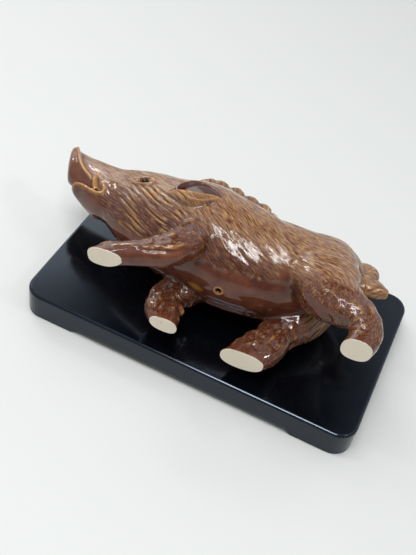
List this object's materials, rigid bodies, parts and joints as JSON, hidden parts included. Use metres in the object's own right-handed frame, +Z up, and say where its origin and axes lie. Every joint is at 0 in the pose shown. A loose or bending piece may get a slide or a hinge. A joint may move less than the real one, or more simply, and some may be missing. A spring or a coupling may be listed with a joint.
{
  "type": "ceramic boar figurine",
  "caption": "Glazed ceramic boar figurine lying on its right side, legs outstretched, on a low black lacquered display board with a relieved underside.",
  "frame": {"origin": "centre of the whole part's box, at the underside of the board's feet", "axes": "+X along the board's length toward the boar's tail end, +Y toward the board's back edge and the boar's back, +Z up"},
  "size_m": [0.2978, 0.154, 0.1099],
  "materials": {
    "glazed_stoneware": "glossy brown glaze, ochre where it breaks over ridges, soles left bare",
    "black_lacquer": "glossy black lacquer"
  },
  "bodies": {
    "root": {"boar": "glazed_stoneware", "display_board": "black_lacquer"}
  },
  "joints": []
}
